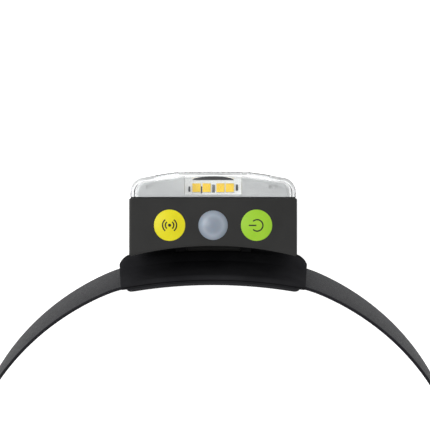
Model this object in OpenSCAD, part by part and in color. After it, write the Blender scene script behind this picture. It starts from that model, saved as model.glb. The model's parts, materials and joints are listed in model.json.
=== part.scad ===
// Headlamp on an adjustable webbing headband.
// The headband is drawn first, in its own frame: the axis of its loop is Z, its lower edge is at
// z = 0 and the lamp sits on its -Y side. The lamp is drawn in a second frame, whose X axis is the
// hinge: -Y is the way the beam goes and Z runs up the lamp's back. stand() then sets the whole
// headlamp down on the lower front edge of its lens and on the loop at the back of the headband.

/* [Headband] */
// Outer radius of the loop that the headband stands in
band_r = 97; // [92:1:102]
// Width of the webbing
band_w = 25; // [25:1:26]
// Thickness of the webbing
band_t = 1.2; // [0.9:0.1:1.2]
// Angle from the lamp round to the adjuster, as it is worn
adjuster_turn = 146; // [135:1:150]

/* [Bracket] */
// Half of the bracket's width
bracket_half = 35.5; // [33:0.5:36]
// Radius of the bracket's front face
bracket_r = 175; // [160:5:190]
// How far the bracket reaches past the webbing's lower edge
bracket_drop = 2; // [1.5:0.1:2.2]
// Thickness of the bracket, its channel for the webbing counted in
bracket_t = 2.7; // [2.6:0.1:2.8]
// Thickness of the forehead pad
pad_t = 1.6; // [1.2:0.1:2.5]

/* [Lamp body] */
// Width of the housing
body_w = 60; // [60:1:64]
// Height of the housing
body_h = 34.5; // [34.5:0.5:36]
// Depth of the housing, from the lens seam to the middle of its back
body_d = 17.1; // [17.1:0.1:19]
// Wall thickness of the housing and lens
wall = 1.8; // [1.6:0.1:1.8]
// Depth of the clear lens cover in front of the seam
lens_d = 9.5; // [9.5:0.1:11]
// How far the lamp leans forward from the bracket, in degrees
rest_tilt = 15.3; // [10:0.1:18]

/* [Buttons and sensor] */
// Diameter of both buttons and of the sensor dome
button_d = 11.4; // [10.5:0.1:11.6]
// Distance from the middle of the dome to the middle of a button
button_pitch = 15.5; // [15:0.1:16]
// How far a button travels
button_travel = 0.8; // [0.5:0.1:0.8]

/* [Hidden] */
$fn = 96;
// Sides of the large, shallow arcs
arc_fn = 720;
cut = 1;
gap = 0.15;

// Places in the headband's frame
bracket_face = 1.5 - band_r;
arc_y = bracket_face + bracket_r;
hinge_y = bracket_face - 2.3;
hinge_z = -0.6;
plate_t = 1.3;
lip = 1;
knuckle_r = 2;
pin_r = 1;
lug_half = 10;
ear = [lug_half + 0.4, lug_half + 4.4];
flange_out = 1.7;
flange_top = 1;
shoulder_r = 2.4;
channel_depth = plate_t + 0.1;

// Places in the lamp's frame
body_bottom = -2.4;
body_top = body_bottom + body_h;
body_back = -1.5;
seam = body_back - body_d;
back_r = 120;
low_back = 5;
inner_back = -4.9;
cavity_x = body_w / 2 - wall;
cavity_z = [body_bottom + wall, body_top - wall];
seal_t = 0.4;
lens_back = seam - seal_t;
lens_front = seam - lens_d;
lens_in = 0.4;
lens_half = body_w / 2 - lens_in;
lens_z = [body_bottom + lens_in, body_top - lens_in];
lens_corner = 5;
lens_flat = 11.1;
lens_bow = 118;
cover_half = 26.5;
cover_z = [4.5, 28.5];
cover_ledge = -3.1;
screw_at = [24.2, 6.1, 26.9];
button_y = seam + 9.7;
dome_r = 8.2;
flange_more = 1;
pocket_z = cover_z[1] + 0.1;
board_z = 25.2;
board_t = 1;
spot = [18, 14.5];
flood_tilt = 40;
flood_at = [-22.9, 21.6];
flood_x = [-5.9, -2.6, 2.3, 5.9];
flap_y = [-16.4, -5.6];
flap_z = [19.6, 26.6];
flap_t = 1.2;

// Places at the back of the headband
bar_turn = 4.2;
rail = 2;
slide_gap = 0.35;
bar_t = 1.6;
bar_turns = 1.3;
return_in = band_r + slide_gap;
slider_half_turn = 7;
hem_turn = 13;
fold_turn = 1.6;

// Standing: the lower front edge of the lens and the loop at the back touch the ground
toe = [lens_front, lens_z[0]];
toe_y = hinge_y + toe[0] * cos(rest_tilt) - toe[1] * sin(rest_tilt);
toe_z = hinge_z + toe[0] * sin(rest_tilt) + toe[1] * cos(rest_tilt);
heel_y = band_r + 1.9;
heel_z = -slide_gap - rail;
stand_tilt = atan2(heel_z - toe_z, heel_y - toe_y);
stand_lift = -(toe_y * sin(-stand_tilt) + toe_z * cos(stand_tilt));
stand_shift = 16.38;

module stand() {
    translate([0, stand_shift, stand_lift]) rotate([-stand_tilt, 0, 0]) children();
}

module at_lamp() {
    stand() translate([0, hinge_y, hinge_z]) rotate([rest_tilt, 0, 0]) children();
}

// A box from its lowest to its highest x, y and z
module slab(x, y, z) {
    translate([x[0], y[0], z[0]]) cube([x[1] - x[0], y[1] - y[0], z[1] - z[0]]);
}

// A bar that is the same on both sides of the lamp
module mid_slab(half_x, y, z) {
    slab([-half_x, half_x], y, z);
}

module both_sides() {
    children();
    mirror([1, 0, 0]) children();
}

// A round bar along X
module x_bar(x, r, y = 0, z = 0) {
    translate([x[0], y, z]) rotate([0, 90, 0]) cylinder(r = r, h = x[1] - x[0]);
}

// A round bar along Y
module y_bar(y, r, x = 0, z = 0) {
    translate([x, y[1], z]) rotate([90, 0, 0]) cylinder(r = r, h = y[1] - y[0]);
}

// Part of a ring round the loop's axis; turns are degrees from the lamp towards +X
module ring_part(turns, r, z) {
    rotate([0, 0, turns[0] - 90]) rotate_extrude(angle = turns[1] - turns[0])
        translate([r[0], z[0]]) square([r[1] - r[0], z[1] - z[0]]);
}

// Plan of a layer of the bracket, from depth a to depth b behind its front face
module bracket_plan(a, b, half) {
    intersection() {
        difference() {
            translate([0, arc_y]) circle(r = bracket_r - a, $fn = arc_fn);
            translate([0, arc_y]) circle(r = bracket_r - b, $fn = arc_fn);
        }
        translate([-half, bracket_face - 4]) square([2 * half, 20]);
    }
}

// Plan of the bracket with round shoulders at its ends
module shoulder_plan(a, b, half) {
    bracket_plan(a, b, half - shoulder_r);
    intersection() {
        bracket_plan(a, b, half);
        both_sides() translate([half - shoulder_r, arc_y
            - sqrt(pow(bracket_r - a - shoulder_r, 2) - pow(half - shoulder_r, 2))])
            circle(r = shoulder_r);
    }
}

// ---- Headband ----

layer_z = [0, band_w];

// The loop's outline moved in by d: round, and flatter where it runs behind the bracket
module loop_plan(d) {
    intersection() {
        circle(r = band_r - d, $fn = arc_fn);
        translate([0, arc_y]) circle(r = bracket_r - channel_depth - d, $fn = arc_fn);
    }
}

module headband() {
    color("#202022") stand() difference() {
        linear_extrude(height = band_w) difference() {
            loop_plan(0);
            loop_plan(band_t);
        }
        ring_part([180 - bar_turn - fold_turn, 180 + bar_turn + fold_turn],
            [band_r - band_t - cut, band_r + cut], [-cut, band_w + cut]);
    }
}

// The strap's fixed end, folded round the loop's bar and sewn down
module band_hem() {
    color("#28282a") stand()
        ring_part([180 + bar_turn + fold_turn, 180 + hem_turn], [band_r + 0.05, band_r + band_t], layer_z);
}

// The strap's free side, turned back through the loop and lying on the headband
module band_return() {
    color("#28282a") stand()
        ring_part([adjuster_turn + 1.4, 180 - bar_turn - fold_turn], [return_in, return_in + band_t], layer_z);
}

// Two rails with bars across them, all bent to the headband's round
module bent_frame(middle, half_turn) {
    for (z = [-slide_gap - rail, band_w + slide_gap])
        ring_part([middle - half_turn, middle + half_turn],
            [band_r - band_t - bar_t - slide_gap, return_in + band_t + 0.25], [z, z + rail]);
}

module band_loop() {
    color("#17181a") stand() {
        bent_frame(180, bar_turn + bar_turns);
        for (turn = [180 - bar_turn, 180 + bar_turn])
            ring_part([turn - bar_turns, turn + bar_turns],
                [band_r - band_t, band_r + 1], [-slide_gap - cut, band_w + slide_gap + cut]);
    }
}

module adjuster_slider() {
    color("#17181a") stand() {
        bent_frame(adjuster_turn, slider_half_turn);
        for (turn = [adjuster_turn - slider_half_turn + 1, adjuster_turn + slider_half_turn - 1])
            ring_part([turn - 1, turn + 1],
                [band_r - band_t - bar_t - slide_gap, band_r - band_t - slide_gap],
                [-slide_gap - cut, band_w + slide_gap + cut]);
        ring_part([adjuster_turn - 1.2, adjuster_turn + 0.2],
            [return_in, return_in + band_t], [-slide_gap - cut, band_w + slide_gap + cut]);
    }
}

// The strap's sewn end, wrapped over the slider's middle bar
module adjuster_fold() {
    color("#28282a") stand() {
        ring_part([adjuster_turn - 1.8, adjuster_turn + 0.8],
            [return_in + band_t + 0.02, return_in + band_t + 0.9], layer_z);
        ring_part([adjuster_turn - 1.8, adjuster_turn - 1.25],
            [return_in, return_in + band_t + 0.02], layer_z);
    }
}

// ---- Bracket and hinge ----

module bracket() {
    color("#1d1e20") stand() difference() {
        union() {
            translate([0, 0, -bracket_drop])
                linear_extrude(height = bracket_drop + band_w + lip + 0.2)
                    shoulder_plan(0, bracket_t, bracket_half);
            translate([0, 0, -bracket_drop])
                linear_extrude(height = bracket_drop + flange_top)
                    shoulder_plan(-flange_out, cut, bracket_half);
            both_sides() {
                x_bar(ear, knuckle_r, hinge_y, hinge_z);
                slab(ear, [hinge_y, bracket_face + cut], [hinge_z - knuckle_r, hinge_z + knuckle_r]);
            }
        }
        translate([0, 0, -0.2]) linear_extrude(height = band_w + 0.4)
            bracket_plan(plate_t, bracket_t + cut, bracket_half + cut);
        mid_slab(lug_half + 0.4, [hinge_y - 4, bracket_face + 0.06], [-bracket_drop - cut, 3]);
        x_bar([-ear[1] - cut, ear[1] + cut], pin_r, hinge_y, hinge_z);
    }
}

module forehead_pad() {
    pad_half = bracket_half - 3.4;
    color("#141416") stand() translate([0, 0, -bracket_drop + 0.3])
        linear_extrude(height = bracket_drop + band_w + lip - 0.4)
            bracket_plan(bracket_t + 0.05, bracket_t + 0.05 + pad_t, pad_half);
}

module hinge_pin() {
    color("silver") stand() x_bar([-ear[1], ear[1]], pin_r, hinge_y, hinge_z);
}

module hinge_washers() {
    color("#d9d2c0") stand() both_sides() difference() {
        x_bar([lug_half + 0.05, lug_half + 0.35], knuckle_r - 0.1, hinge_y, hinge_z);
        x_bar([lug_half - cut, lug_half + cut], pin_r + 0.05, hinge_y, hinge_z);
    }
}

// ---- Housing and its back ----

// Plan of the housing, moved in by d: its back is hollow so that it folds against the bracket
module body_plan(d) {
    difference() {
        translate([-body_w / 2 + d, seam]) square([body_w - 2 * d, body_d + 8 - d]);
        translate([0, body_back + back_r - d]) circle(r = back_r, $fn = arc_fn);
    }
}

module housing() {
    lug = [-lug_half, lug_half];
    color("#2c2c2c") at_lamp() difference() {
        union() {
            translate([0, 0, body_bottom]) linear_extrude(height = body_h) body_plan(0);
            x_bar(lug, knuckle_r);
            slab(lug, [body_back - cut, 0], [-knuckle_r, knuckle_r]);
        }
        mid_slab(cavity_x, [seam - cut, inner_back], cavity_z);
        both_sides() {
            slab([lug_half, body_w], [body_back, 9], [body_bottom - cut, low_back]);
            x_bar([lug_half, ear[1] + 0.4], knuckle_r + 0.5);
            for (z = [screw_at[1], screw_at[2]]) y_bar([inner_back - cut, 0], 0.9, screw_at[0], z);
            translate([button_pitch, button_y, cavity_z[1] - cut])
                cylinder(d = button_d + 0.5, h = wall + 2 * cut);
        }
        translate([0, button_y, cavity_z[1] - cut]) cylinder(d = button_d + 0.1, h = wall + 2 * cut);
        for (x = [-button_pitch, 0, button_pitch]) translate([x, button_y, pocket_z])
            cylinder(d = button_d + flange_more + 0.3, h = cavity_z[1] - pocket_z);
        mid_slab(cover_half, [cover_ledge, 9], cover_z);
        mid_slab(22, [inner_back - cut, 0], [7.5, 25.5]);
        x_bar([-20, 20], pin_r + 0.05);
        slab([body_w / 2 - flap_t, body_w], flap_y, flap_z);
        slab([cavity_x - cut, body_w], [-15.6, -6.4], [21.6, 25]);
    }
}

module rear_cover() {
    color("#262626") at_lamp() difference() {
        mid_slab(cover_half - gap, [cover_ledge + 0.3, 3], [cover_z[0] + gap, cover_z[1] - gap]);
        translate([0, body_back + back_r - gap, 0]) cylinder(r = back_r, h = body_h, $fn = arc_fn);
        both_sides() for (z = [screw_at[1], screw_at[2]]) {
            y_bar([cover_ledge - cut, 9], 0.9, screw_at[0], z);
            y_bar([-1.4, 9], 1.75, screw_at[0], z);
        }
    }
}

module cover_seal() {
    color("#5a5a5c") at_lamp() difference() {
        mid_slab(cover_half - 0.3, [cover_ledge, cover_ledge + 0.3],
            [cover_z[0] + 0.3, cover_z[1] - 0.3]);
        mid_slab(22, [inner_back, 0], [7.5, 25.5]);
        both_sides() for (z = [screw_at[1], screw_at[2]])
            y_bar([cover_ledge - cut, 0], 1, screw_at[0], z);
    }
}

module cover_screws() {
    color("silver") at_lamp() both_sides() for (z = [screw_at[1], screw_at[2]]) {
        y_bar([inner_back - 0.4, -1.3], 0.85, screw_at[0], z);
        difference() {
            y_bar([-1.4, -0.2], 1.6, screw_at[0], z);
            translate([screw_at[0] - 0.9, -0.8, z - 0.2]) cube([1.8, cut, 0.4]);
            translate([screw_at[0] - 0.2, -0.8, z - 0.9]) cube([0.4, cut, 1.8]);
        }
    }
}

// ---- Lens and light ----

// Right half of the lens's front edge, moved in by d: flat window, bowed face, round corner
function bow_y(x, d) = max(lens_front + d, lens_front - 0.52 + lens_bow
    - sqrt(pow(lens_bow - d, 2) - x * x));
function lens_edge(d) = let (r = lens_corner - d, cx = lens_half - lens_corner,
    cy = bow_y(cx, d) + r) concat(
    [for (x = [lens_flat, 14, 17, 20, 23]) [x, bow_y(x, d)]],
    [for (a = [78:-13:0]) [cx + r * cos(a), cy - r * sin(a)]]);

module lens_plan(d, back) {
    edge = lens_edge(d);
    polygon(concat([[d - lens_half, back]],
        [for (i = [len(edge) - 1:-1:0]) [-edge[i][0], edge[i][1]]],
        edge, [[lens_half - d, back]]));
}

module lens_cover() {
    color([0.85, 0.9, 0.92, 0.4]) at_lamp() difference() {
        translate([0, 0, lens_z[0]]) linear_extrude(height = lens_z[1] - lens_z[0])
            lens_plan(0, lens_back);
        translate([0, 0, lens_z[0] + wall]) linear_extrude(height = lens_z[1] - lens_z[0] - 2 * wall)
            lens_plan(wall, lens_back + cut);
    }
}

module lens_seal() {
    color("#101012") at_lamp() difference() {
        mid_slab(lens_half - 0.2, [lens_back, seam], [lens_z[0] + 0.2, lens_z[1] - 0.2]);
        mid_slab(cavity_x + 0.2, [lens_back - cut, seam + cut], [cavity_z[0] - 0.2, cavity_z[1] + 0.2]);
    }
}

bezel_z = [lens_z[0] + wall + 0.3, lens_z[1] - wall - 0.3];
bezel_front = lens_front + wall + 1.4;

module cup(r_front, r_back, front, back) {
    translate([spot[0], back, spot[1]]) rotate([90, 0, 0])
        cylinder(r1 = r_back, r2 = r_front, h = back - front);
}

module reflector_bezel() {
    color("#c4c8ca") at_lamp() difference() {
        union() {
            difference() {
                bezel_block(wall + 0.3, bezel_front, lens_back, bezel_z);
                bezel_block(wall + 1.4, bezel_front + 1.1, lens_back + cut,
                    [bezel_z[0] + 1.1, bezel_z[1] - 1.1]);
            }
            intersection() {
                bezel_block(wall + 0.3, bezel_front, lens_back, bezel_z);
                both_sides() cup(7.3, 3.4, bezel_front, lens_back);
            }
        }
        both_sides() {
            cup(6.4, 2.3, bezel_front - 0.01, lens_back - 0.6);
            cup(2.3, 2.3, lens_back - 1, lens_back + cut);
        }
        mid_slab(10.6, [lens_front, seam], [14, 33]);
    }
}

module bezel_block(d, front, back, z) {
    translate([0, 0, z[0]]) linear_extrude(height = z[1] - z[0]) intersection() {
        lens_plan(d, back);
        translate([-body_w / 2, front]) square([body_w, back - front]);
    }
}

module spot_led_board() {
    color("#e8e8e4") at_lamp() mid_slab(26, [lens_back + 0.05, lens_back + 1.05], [1, 24.4]);
}

module spot_leds() {
    color("#f2d24a") at_lamp() both_sides()
        slab([spot[0] - 1.6, spot[0] + 1.6], [lens_back - 0.85, lens_back + 0.05],
            [spot[1] - 1.6, spot[1] + 1.6]);
}

module heat_sink() {
    color("#b8bcc0") at_lamp() difference() {
        mid_slab(24, [lens_back + 1.05, lens_back + 2.25], [1.5, 24]);
        both_sides() y_bar([lens_back, seam + 4], 1.2, 21, 4.5);
    }
}

// Frame of the flood light: its board leans back so that it lights both up and ahead
module at_flood() {
    at_lamp() translate([0, flood_at[0], flood_at[1]]) rotate([flood_tilt, 0, 0]) children();
}

module flood_board() {
    color("#f0f0ec") at_flood() mid_slab(10.2, [-4, 3], [-1.9, -0.9]);
}

module flood_leds() {
    color("#f5c830") at_flood() for (x = flood_x)
        slab([x - 1.5, x + 1.5], [-2.1, 2.1], [-0.9, -0.1]);
}

module flood_optic() {
    color([0.9, 0.95, 0.97, 0.35]) at_lamp() translate([10.3, 0, 0]) rotate([0, -90, 0])
        linear_extrude(height = 20.6) polygon([[29.4, -19.4], [29.4, -24.2], [28.6, -25.4],
            [26.6, -26.1], [20.4, -26.1], [25.4, -20.2], [26, -19.4]]);
}

// ---- Board, buttons and sensor ----

module control_board() {
    color("#2f6b46") at_lamp() difference() {
        mid_slab(cavity_x - 1.2, [seam + 1.8, inner_back - 0.4], [board_z, board_z + board_t]);
        y_bar([-8, 0], 1.5, 24.2, 26.9);
        y_bar([-8, 0], 1.5, -24.2, 26.9);
    }
}

module button_switches() {
    color("#3a3a3c") at_lamp() both_sides() {
        slab([button_pitch - 2.2, button_pitch + 2.2], [button_y - 2.2, button_y + 2.2],
            [board_z + board_t, board_z + board_t + 1]);
        translate([button_pitch, button_y, board_z + board_t + 1]) cylinder(d = 2, h = 0.35);
    }
}

module motion_sensor() {
    color("#8d9298") at_lamp() translate([0, button_y, board_z + board_t]) {
        cylinder(d = 7.6, h = 0.5);
        cylinder(d = 6.6, h = 2.6);
    }
}

// A shallow domed disc with a flange under it, which the housing's top wall holds down
module domed_cap(proud, foot) {
    intersection() {
        translate([0, 0, foot]) cylinder(d = button_d, h = body_top + proud + cut - foot);
        translate([0, 0, body_top + proud - 30]) sphere(r = 30);
    }
}

module sensor_dome() {
    color("#a7b0bd") at_lamp() translate([0, button_y, 0]) difference() {
        union() {
            intersection() {
                translate([0, 0, cavity_z[1] - 0.9]) cylinder(d = button_d, h = 8);
                translate([0, 0, body_top + 1.9 - dome_r]) sphere(r = dome_r);
            }
            translate([0, 0, cavity_z[1] - 0.9]) cylinder(d = button_d + flange_more, h = 0.85);
        }
        intersection() {
            translate([0, 0, cavity_z[1] - cut]) cylinder(d = button_d - 2, h = 8);
            translate([0, 0, body_top + 0.9 - dome_r]) sphere(r = dome_r - 0.1);
        }
    }
}

module button_cap() {
    flange_top_z = cavity_z[1] - 0.1;
    domed_cap(0.7, flange_top_z - 0.5);
    translate([0, 0, flange_top_z - 0.6]) cylinder(d = button_d + flange_more, h = 0.6);
    translate([0, 0, board_z + board_t + 1.4 + button_travel]) cylinder(d = 3, h = 2);
}

module power_button() {
    color("#94cf2c") at_lamp() translate([-button_pitch, button_y, 0]) button_cap();
}

module sensor_button() {
    color("#ece41c") at_lamp() translate([button_pitch, button_y, 0]) button_cap();
}

// A soft ring under each cap that pushes it back up
module button_spring(side) {
    low = board_z + board_t;
    high = cavity_z[1] - 0.75;
    color("#d8d8d4") at_lamp() translate([side * button_pitch, button_y, low]) difference() {
        cylinder(d = 7.6, h = high - low);
        translate([0, 0, -cut]) cylinder(d = 6.2, h = high - low + 2 * cut);
    }
}

module button_springs_power() {
    button_spring(-1);
}

module button_springs_sensor() {
    button_spring(1);
}

// ---- Power ----

module battery_cell() {
    color("#c9ccd1") at_lamp() mid_slab(19.5, [-13.4, -5.2], [1.2, 24.6]);
}

module battery_pad() {
    color("#55565a") at_lamp() mid_slab(18, [lens_back + 2.3, -13.45], [3, 23]);
}

module battery_leads() {
    color("crimson") at_lamp() for (y = [-10.5, -8.5]) {
        x_bar([-23.5, -19.5], 0.45, y, 22);
        translate([-23.5, y, 22]) cylinder(r = 0.45, h = board_z - 22);
    }
}

module usb_port() {
    color("silver") at_lamp() difference() {
        slab([22.4, body_w / 2 - flap_t - 0.7], [-15.5, -6.5], [21.7, 24.9]);
        slab([23.4, body_w / 2], [-15.2, -6.8], [22, 24.6]);
    }
    color("#202020") at_lamp() slab([23.4, 27], [-14.3, -7.7], [22.95, 23.65]);
}

module usb_flap() {
    x = body_w / 2 - flap_t;
    color("#232323") at_lamp() {
        slab([x + 0.05, body_w / 2 - 0.05], [flap_y[0] + gap, flap_y[1] - gap],
            [flap_z[0] + gap, flap_z[1] - gap]);
        slab([x - 0.4, x + 0.1], [-15.3, -6.7], [21.9, 24.7]);
    }
}

headband();
band_hem();
band_return();
band_loop();
adjuster_slider();
adjuster_fold();
bracket();
forehead_pad();
hinge_pin();
hinge_washers();
housing();
rear_cover();
cover_seal();
cover_screws();
lens_cover();
lens_seal();
reflector_bezel();
spot_led_board();
spot_leds();
heat_sink();
flood_board();
flood_leds();
flood_optic();
control_board();
button_switches();
motion_sensor();
sensor_dome();
battery_cell();
battery_pad();
battery_leads();
power_button();
sensor_button();
button_springs_power();
button_springs_sensor();
usb_port();
usb_flap();
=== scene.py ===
import json
import math

import bmesh
import bpy
from mathutils import Matrix, Vector


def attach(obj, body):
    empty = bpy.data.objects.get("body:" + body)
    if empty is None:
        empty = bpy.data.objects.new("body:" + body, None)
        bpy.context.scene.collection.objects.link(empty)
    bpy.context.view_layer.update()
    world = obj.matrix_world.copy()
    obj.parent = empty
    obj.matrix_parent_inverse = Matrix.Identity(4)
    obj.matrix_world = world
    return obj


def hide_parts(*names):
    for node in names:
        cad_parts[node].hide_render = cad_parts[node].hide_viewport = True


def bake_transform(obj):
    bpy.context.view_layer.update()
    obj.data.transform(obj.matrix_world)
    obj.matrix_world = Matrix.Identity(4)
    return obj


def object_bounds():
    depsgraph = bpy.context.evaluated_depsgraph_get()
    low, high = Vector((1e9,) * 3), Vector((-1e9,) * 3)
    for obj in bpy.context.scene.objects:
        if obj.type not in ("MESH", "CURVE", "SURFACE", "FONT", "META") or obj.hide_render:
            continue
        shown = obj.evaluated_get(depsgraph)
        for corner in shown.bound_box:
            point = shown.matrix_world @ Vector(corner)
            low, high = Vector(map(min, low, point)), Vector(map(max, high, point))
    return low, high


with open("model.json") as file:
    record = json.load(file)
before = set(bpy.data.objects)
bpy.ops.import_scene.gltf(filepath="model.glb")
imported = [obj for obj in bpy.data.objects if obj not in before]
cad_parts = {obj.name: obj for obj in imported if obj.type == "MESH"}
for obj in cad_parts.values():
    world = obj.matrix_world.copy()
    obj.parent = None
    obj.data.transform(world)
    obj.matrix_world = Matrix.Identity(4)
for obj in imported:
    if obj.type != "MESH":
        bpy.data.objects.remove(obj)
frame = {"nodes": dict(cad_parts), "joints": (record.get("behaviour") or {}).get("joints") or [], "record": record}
cadBounds = [list(corner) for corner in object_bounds()]
print("frame loaded")

mm = 0.001
record = frame["record"]
joints = {joint["name"]: joint for joint in frame["joints"]}
mounts = {mount["name"]: mount for mount in record["mounts"]}


# A working frame in millimetres: its X is the row frame's X, its Z is up
def workFrame(origin, up):
    z = Vector(up).normalized()
    x = Vector((1, 0, 0))
    y = z.cross(x).normalized()
    turned = Matrix((x, y, z)).transposed().to_4x4()
    turned.translation = Vector(origin)
    return turned @ Matrix.Scale(mm, 4)


# The headband's frame has its origin on the loop's axis at half the webbing's width, with the lamp
# on its -Y side. The lamp's frame has the hinge as its X axis, -Y towards the light.
bandFrame = workFrame(mounts["head_loop"]["pos_m"], mounts["head_loop"]["axis"])
lampFrame = workFrame(joints["lamp_tilt"]["pos_m"], [-a for a in mounts["underside"]["axis"]])


# Lowest and highest corner of a CAD node in a working frame
def nodeBox(name, working):
    inverse = working.inverted()
    points = [inverse @ vertex.co for vertex in frame["nodes"][name].data.vertices]
    low = Vector([min(p[i] for p in points) for i in range(3)])
    high = Vector([max(p[i] for p in points) for i in range(3)])
    return low, high


# Making meshes

def smoothByAngle(mesh, degrees=32):
    for polygon in mesh.polygons:
        polygon.use_smooth = True
    mesh.set_sharp_from_angle(angle=math.radians(degrees))


def linkMesh(name, mesh):
    made = bpy.data.objects.new(name, mesh)
    bpy.context.scene.collection.objects.link(made)
    return made


# A mesh object from points in a working frame; its own place ends up in its mesh
def makeMesh(name, points, faces, working, outward=True):
    mesh = bpy.data.meshes.new(name)
    mesh.from_pydata([tuple(p) for p in points], [], faces)
    mesh.transform(working)
    if outward:
        shape = bmesh.new()
        shape.from_mesh(mesh)
        bmesh.ops.recalc_face_normals(shape, faces=shape.faces)
        shape.to_mesh(mesh)
        shape.free()
    mesh.validate()
    return linkMesh(name, mesh)


# Turns an object with its modifiers into a plain mesh
def settle(made):
    bpy.context.view_layer.update()
    depsgraph = bpy.context.evaluated_depsgraph_get()
    mesh = bpy.data.meshes.new_from_object(made.evaluated_get(depsgraph), depsgraph=depsgraph,
                                           preserve_all_data_layers=True)
    made.modifiers.clear()
    made.data = mesh
    return made


def bevel(made, width, segments=3, degrees=30):
    modifier = made.modifiers.new("roundedEdges", "BEVEL")
    modifier.width = width * mm
    modifier.segments = segments
    modifier.limit_method = "ANGLE"
    modifier.angle_limit = math.radians(degrees)
    modifier.use_clamp_overlap = True
    return settle(made)


def combine(made, other, operation, solver="EXACT"):
    modifier = made.modifiers.new("cut", "BOOLEAN")
    modifier.operation = operation
    modifier.solver = solver
    modifier.object = other
    settle(made)
    bpy.data.objects.remove(other)
    return made


def join(name, pieces):
    mesh = bpy.data.meshes.new(name)
    shape = bmesh.new()
    materials = []
    for piece in pieces:
        offset = []
        for material in piece.data.materials:
            if material not in materials:
                materials.append(material)
            offset.append(materials.index(material))
        first = len(shape.faces)
        shape.from_mesh(piece.data)
        shape.faces.ensure_lookup_table()
        for face in shape.faces[first:]:
            face.material_index = offset[face.material_index] if offset else 0
        bpy.data.objects.remove(piece)
    shape.to_mesh(mesh)
    shape.free()
    for material in materials:
        mesh.materials.append(material)
    return linkMesh(name, mesh)


# A smoothed copy of a CAD node, merged and with its flat faces made whole
def roundedCopy(node, name, width, segments=3):
    mesh = frame["nodes"][node].data.copy()
    shape = bmesh.new()
    shape.from_mesh(mesh)
    bmesh.ops.remove_doubles(shape, verts=shape.verts, dist=0.005 * mm)
    bmesh.ops.dissolve_limit(shape, angle_limit=math.radians(1), verts=shape.verts,
                             edges=shape.edges)
    shape.to_mesh(mesh)
    shape.free()
    mesh.materials.clear()
    made = linkMesh(name, mesh)
    bevel(made, width, segments)
    smoothByAngle(made.data)
    return made


# Corners (x, y, radius) to an outline with round corners
def roundCorners(corners, steps=6):
    outline = []
    count = len(corners)
    for i, (x, y, radius) in enumerate(corners):
        here = Vector((x, y))
        before = (Vector(corners[i - 1][:2]) - here).normalized()
        after = (Vector(corners[(i + 1) % count][:2]) - here).normalized()
        if radius <= 0:
            outline.append(here)
            continue
        half = before.angle(after) / 2
        reach = radius / math.tan(half)
        middle = here + (before + after).normalized() * radius / math.sin(half)
        start = here + before * reach - middle
        end = here + after * reach - middle
        swing = start.angle_signed(end)
        for k in range(steps + 1):
            turned = start.copy()
            turned.rotate(Matrix.Rotation(-swing * k / steps, 2))
            outline.append(middle + turned)
    return outline


# A body built up from outlines at levels (height, inset); outline(inset) keeps its point count
def stackedBody(name, outline, levels, working):
    rings = [outline(inset) for _, inset in levels]
    count = len(rings[0])
    points = [(p[0], p[1], level[0]) for ring, level in zip(rings, levels) for p in ring]
    faces = [list(range(count))[::-1], [len(points) - count + i for i in range(count)]]
    for r in range(len(rings) - 1):
        for i in range(count):
            j = (i + 1) % count
            faces.append([r * count + i, r * count + j, (r + 1) * count + j, (r + 1) * count + i])
    return makeMesh(name, points, faces, working)


# Levels (height, inset) that round a body's rims, each with a support loop on its flat
def rimLevels(low, high, lowRadius, highRadius, steps=5):
    support = 0.12
    angles = [math.radians(90 * k / steps) for k in range(steps + 1)]
    rising = [(low + lowRadius * (1 - math.cos(a)), lowRadius * (1 - math.sin(a))) for a in angles]
    falling = [(high - highRadius * (1 - math.cos(a)), highRadius * (1 - math.sin(a)))
               for a in reversed(angles)]
    return [(low, lowRadius + support)] + rising + falling + [(high, highRadius + support)]


# A solid of revolution about a line parallel to the working frame's Z; profile is (radius, height)
def turned(name, profile, centre, working, sides=64, axis="Z"):
    points, faces = [], []
    for radius, height in profile:
        for k in range(sides):
            a = 2 * math.pi * k / sides
            u, v = radius * math.cos(a), radius * math.sin(a)
            spot = {"Z": (u, v, height), "X": (height, u, v), "Y": (v, height, u)}[axis]
            points.append([centre[i] + spot[i] for i in range(3)])
    for r in range(len(profile) - 1):
        for k in range(sides):
            j = (k + 1) % sides
            faces.append([r * sides + k, r * sides + j, (r + 1) * sides + j, (r + 1) * sides + k])
    faces.append(list(range(sides))[::-1])
    faces.append([(len(profile) - 1) * sides + k for k in range(sides)])
    return makeMesh(name, points, faces, working)


def block(name, x, y, z, working):
    corners = [(a, b, c) for a in x for b in y for c in z]
    faces = [(0, 1, 3, 2), (4, 6, 7, 5), (0, 4, 5, 1), (2, 3, 7, 6), (0, 2, 6, 4), (1, 5, 7, 3)]
    return makeMesh(name, corners, faces, working)


# A closed solid between two outlines; points holds one outline after the other
def betweenOutlines(name, points, working):
    count = len(points) // 2
    faces = [list(range(count)), list(range(count, 2 * count))]
    faces += [[i, (i + 1) % count, count + (i + 1) % count, count + i] for i in range(count)]
    return makeMesh(name, points, faces, working)


def finishPiece(made, body, materials, replaced=(), degrees=32):
    smoothByAngle(made.data, degrees)
    if materials:
        made.data.materials.clear()
        for material in materials:
            made.data.materials.append(material)
    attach(made, body)
    if replaced:
        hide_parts(*replaced)
    return made


# Materials

# The linear colour of an sRGB hex value
def colour(hexValue, alpha=1.0):
    parts = [int(hexValue[i:i + 2], 16) / 255 for i in (1, 3, 5)]
    return [p / 12.92 if p <= 0.04045 else ((p + 0.055) / 1.055) ** 2.4 for p in parts] + [alpha]


# Adds a node with its settings and links, to a shader or a geometry tree
def addNode(tree, kind, settings=None, sockets=None):
    node = tree.nodes.new(kind)
    for key, value in (settings or {}).items():
        setattr(node, key, value)
    for key, value in (sockets or {}).items():
        if isinstance(value, bpy.types.NodeSocket):
            tree.links.new(value, node.inputs[key])
        else:
            node.inputs[key].default_value = value
    return node


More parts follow.
